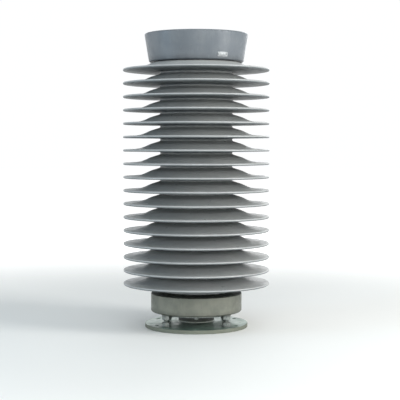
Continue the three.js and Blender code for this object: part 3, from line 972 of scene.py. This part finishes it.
for node in each("stud", STUDS):
    ends = loft(
        [
            (0, stud_low.z),
            (stud_radius - STUD_CHAMFER, stud_low.z),
            (stud_radius + MM, stud_low.z + STUD_CHAMFER + MM),
            (stud_radius + MM, stud_high.z - STUD_CHAMFER - MM),
            (stud_radius - STUD_CHAMFER, stud_high.z),
            (0, stud_high.z),
        ],
        FINE,
    )
    thread = helix(stud_radius, STUD_PITCH, stud_low.z, stud_high.z)
    set_out(node, combined(thread, [ends], "INTERSECT"))

for node in each("plate_nut", STUDS) + each("collar_nut", STUDS):
    low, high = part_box(node)
    set_out(node, hex_nut(NUT_ACROSS_FLATS, stud_hole, low.z, high.z))

for node in each("plate_washer", STUDS) + each("collar_washer", STUDS):
    low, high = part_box(node)
    edge = WASHER_DIAMETER / 2
    outline = [(stud_hole, low.z), (edge, low.z), (edge, high.z), (stud_hole, high.z)]
    set_out(node, loft(rounded(outline, MM), FINE))

for node in each("cover_bolt", COVER_BOLTS):
    low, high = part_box(node)
    set_out(node, hex_bolt(high.z - BOLT_HEAD, low.z))

for node in each("closing_bolt", COVER_BOLTS):
    low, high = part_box(node)
    bolt = hex_bolt(-low.z - BOLT_HEAD, -high.z)
    set_out(node, upturned(bolt))

# ---------------------------------------------------------------- canister and filling valve

stand_for("desiccant_canister", turned("desiccant_canister", CAST_ROUNDING))


def pointed_back(mesh, foot):
    """A piece made up the Z axis from height 0, turned to point out along +Y from its foot."""
    at = middle("filling_valve")
    turn = Matrix.Rotation(-math.pi / 2, 4, "X")
    return moved(mesh, Matrix.Translation((at.x, foot, at.z)) @ turn)


def valve():
    """Screw, hexagon and stem in one turned bar. The screw has no thread cut in it."""
    low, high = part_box("filling_valve")
    face = outer_radius("desiccant_canister")
    hex_from = face - low.y
    hex_to = hex_from + VALVE_HEX_LENGTH
    end = high.y - low.y
    start = VALVE_HEX / 2 * HEAD_FACE
    side = hexagon(VALVE_HEX)
    thread = VALVE_THREAD / 2
    stem = VALVE_STEM / 2
    rings = [(0, 0), (thread - MM, 0), (thread, MM), (thread, hex_from), (start, hex_from)]
    rings += [(side, chamfered_edge(VALVE_HEX, hex_from, 1))]
    rings += [(side, chamfered_edge(VALVE_HEX, hex_to, -1)), (start, hex_to)]
    rings += [(stem, hex_to), (stem, end - MM), (stem - MM, end), (0, end)]
    return pointed_back(loft(rings, FINE), low.y)


def valve_cap():
    """A knurled cap with a plain band at its open end."""
    low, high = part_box("filling_valve_cap")
    length = high.y - low.y
    radius = (high.x - low.x) / 2
    inner = (VALVE_STEM + HOLE_PLAY) / 2

    def knurl(angle):
        return radius - KNURL_DEPTH * (0.5 + 0.5 * math.cos(CAP_RIDGES * angle))

    bore = [(0, length - 2 * MM), (inner, length - 2 * MM), (inner, 0.5 * MM), (inner + 0.5 * MM, 0)]
    band = [
        (radius - 0.6 * MM, 0),
        (radius, 0.6 * MM),
        (radius, 2.4 * MM),
        (radius - 0.6 * MM, 2.8 * MM),
    ]
    grip = [(knurl, 3.2 * MM), (knurl, length - 1.6 * MM)]
    end = [(radius - 1.2 * MM, length - 0.5 * MM), (radius - 2.2 * MM, length), (0, length)]
    return pointed_back(loft(bore + band + grip + end, 4 * CAP_RIDGES), low.y)


stand_for("filling_valve", valve())
stand_for("filling_valve_cap", valve_cap())

# ---------------------------------------------------------------- rating plate

plate_bearing = (bearing("rating_rivet_1") + bearing("rating_rivet_2")) / 2
plate_low, plate_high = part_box("rating_plate")
plate_height = plate_high.z - plate_low.z
cap_side = [p for p in outline_of("cap") if p[0] > outer_radius("cap") * 0.9]
foot_of_side = min(cap_side, key=lambda p: p[0] + p[1])
head_of_side = max(cap_side, key=lambda p: p[0])
slope = math.atan2(head_of_side[0] - foot_of_side[0], head_of_side[1] - foot_of_side[1])


def on_side(across, up, out):
    """A point on the cap's side: across to the right and up from the plate's middle, and out from the
    painted face."""
    z = (plate_low.z + plate_high.z) / 2 + up * math.cos(slope)
    r = foot_of_side[0] + (z - foot_of_side[1]) * math.tan(slope)
    angle = plate_bearing + across / r
    r += out * math.cos(slope)
    return (r * math.cos(angle), r * math.sin(angle), z - out * math.sin(slope))


def rounded_rectangle(width, height, corner):
    """Points round a rectangle, with CORNER_POINTS to each corner."""
    points = []
    for quarter, (sx, sy) in enumerate(((1, 1), (-1, 1), (-1, -1), (1, -1))):
        for k in range(CORNER_POINTS):
            a = math.pi / 2 * (quarter + k / (CORNER_POINTS - 1))
            points.append(
                (
                    sx * (width / 2 - corner) + corner * math.cos(a),
                    sy * (height / 2 - corner) + corner * math.sin(a),
                )
            )
    return points


def rating_plate():
    """A blank plate that follows the cap's side, with a raised border."""
    mesh = bmesh.new()
    height = plate_height / math.cos(slope)
    top = SEAT + RATING_THICKNESS

    def ring(inset, corner, share, out):
        shape = rounded_rectangle(RATING_WIDTH - 2 * inset, height - 2 * inset, corner)
        return [mesh.verts.new(on_side(x * share, y * share, out)) for x, y in shape]

    loops = [
        (0, SEAT),
        (0, top - RATING_EDGE),
        (RATING_EDGE, top),
        (RATING_BORDER, top),
        (RATING_BORDER + RATING_STEP, top - RATING_STEP),
    ]
    front = []
    for inset, out in loops:
        front.append(ring(inset, max(RATING_CORNER - inset, RATING_LEAST_CORNER), 1, out))
    inset, face = loops[-1]
    front += [ring(inset, RATING_CORNER / 3, share, face) for share in RATING_RINGS]
    back = [ring(0, RATING_CORNER, share, SEAT) for share in RATING_RINGS]
    rows = back[::-1] + front
    for low, high in zip(rows, rows[1:]):
        for i in range(len(low)):
            j = (i + 1) % len(low)
            mesh.faces.new((low[i], low[j], high[j], high[i]))
    for row, out in ((front[-1], face), (back[-1], SEAT)):
        centre = mesh.verts.new(on_side(0, 0, out))
        for i in range(len(row)):
            mesh.faces.new((row[i], row[(i + 1) % len(row)], centre))
    bmesh.ops.recalc_face_normals(mesh, faces=mesh.faces)
    return mesh


def rivet(node):
    """A domed rivet, square to the cap's side."""
    reach = RATING_WIDTH / 2 - RIVET_INSET
    side = 1 if bearing(node) > plate_bearing else -1
    seat = SEAT + RATING_THICKNESS + SEAT
    dome = [
        (RIVET_HEAD / 2 * math.cos(a), seat + RIVET_DOME * math.sin(a))
        for a in [math.pi / 2 * k / DOME_STEPS for k in range(DOME_STEPS)]
    ]
    rings = [(0, -RIVET_DEPTH), (RIVET_DIAMETER / 2, -RIVET_DEPTH), (RIVET_DIAMETER / 2, seat)]
    rings += [(RIVET_HEAD / 2, seat), *dome[1:], (0, seat + RIVET_DOME)]
    foot = Vector(on_side(side * reach, 0, 0))
    out = Vector(on_side(side * reach, 0, 0.01)) - foot
    return moved(
        loft(rings, COARSE),
        Matrix.Translation(foot) @ out.to_track_quat("Z", "Y").to_matrix().to_4x4(),
    )


stand_for("rating_plate", rating_plate())
for node in each("rating_rivet", RIVETS):
    stand_for(node, rivet(node))

# ---------------------------------------------------------------- pieces that stay as the CAD has them

for node in nodes:
    if not nodes[node].hide_render:
        keep(node)

# ---------------------------------------------------------------- floor, light and camera


def pale_floor(colour):
    """Plain and pale. It glows more and more further out, so that it ends in the white room."""
    f = Finish("pale_floor")
    tone = f.blend(f.noise(1.5, 2), [c * 0.985 for c in colour], colour)
    glow = f.level(f.from_axis(), GLOW_FROM, GLOW_TO, 0, FLOOR_GLOW)
    f.shader.inputs["Emission Color"].default_value = (1, 1, 1, 1)
    f.tree.links.new(glow, f.shader.inputs["Emission Strength"])
    return f.set(tone, f.level(f.noise(0.6, 2), 0.3, 0.7, 0.75, 0.85))


floor_mesh = bmesh.new()
bmesh.ops.create_grid(floor_mesh, x_segments=1, y_segments=1, size=FLOOR_REACH)
floor = object_of(floor_mesh, "floor")
floor.data.materials.append(pale_floor(FLOOR_COLOUR))
floor.location.z = -FLOOR_DROP

# A white room, brighter low down than overhead
world = bpy.data.worlds.new("studio")
world.use_nodes = True
tree = world.node_tree
direction = tree.nodes.new("ShaderNodeTexCoord")
parts = tree.nodes.new("ShaderNodeSeparateXYZ")
fade = tree.nodes.new("ShaderNodeMapRange")
fade.interpolation_type = "SMOOTHSTEP"
for name, value in (
    ("From Min", HORIZON_TOP),
    ("From Max", SKY_FROM),
    ("To Min", HORIZON_LIGHT),
    ("To Max", SKY_LIGHT),
):
    fade.inputs[name].default_value = value
tree.links.new(direction.outputs["Generated"], parts.inputs["Vector"])
tree.links.new(parts.outputs["Z"], fade.inputs["Value"])
tree.nodes["Background"].inputs["Color"].default_value = (0.98, 0.99, 1, 1)
tree.links.new(fade.outputs["Result"], tree.nodes["Background"].inputs["Strength"])
bpy.context.scene.world = world


def area_light(name, place, target, size, power, colour):
    data = bpy.data.lights.new(name, "AREA")
    data.shape = "RECTANGLE"
    data.size, data.size_y = size
    data.energy = power
    data.color = colour
    light = bpy.data.objects.new(name, data)
    light.location = place
    light.rotation_euler = (Vector(target) - Vector(place)).to_track_quat("-Z", "Y").to_euler()
    bpy.context.scene.collection.objects.link(light)


centre = (0, 0, (cad_box[0].z + cad_box[1].z) / 2)
area_light("front", (0.2, -5.7, 2.7), centre, (4.4, 3.4), 162, (0.98, 1.0, 0.99))
area_light("key", (3.3, -1.5, 1.9), centre, (1.4, 2.2), 125, (1.0, 0.985, 0.965))
area_light("left", (-3.4, -1.3, 1.7), centre, (1.2, 2.2), 30, (0.50, 0.77, 1.0))
area_light("back", (0.8, 4.6, 2.4), centre, (3.0, 2.4), 42, (0.97, 0.99, 1.0))
area_light("top", (0.0, 0.0, 4.4), centre, (2.4, 2.4), 22, (0.76, 0.90, 1.0))

camera_data = bpy.data.cameras.new("camera")
camera_data.lens = LENS
camera = bpy.data.objects.new("camera", camera_data)
camera.location = CAMERA_PLACE
camera.rotation_euler = (math.radians(90 - CAMERA_DIP), 0, 0)
bpy.context.scene.collection.objects.link(camera)
bpy.context.scene.camera = camera
bpy.context.scene.view_settings.view_transform = "Standard"

bpy.context.view_layer.update()
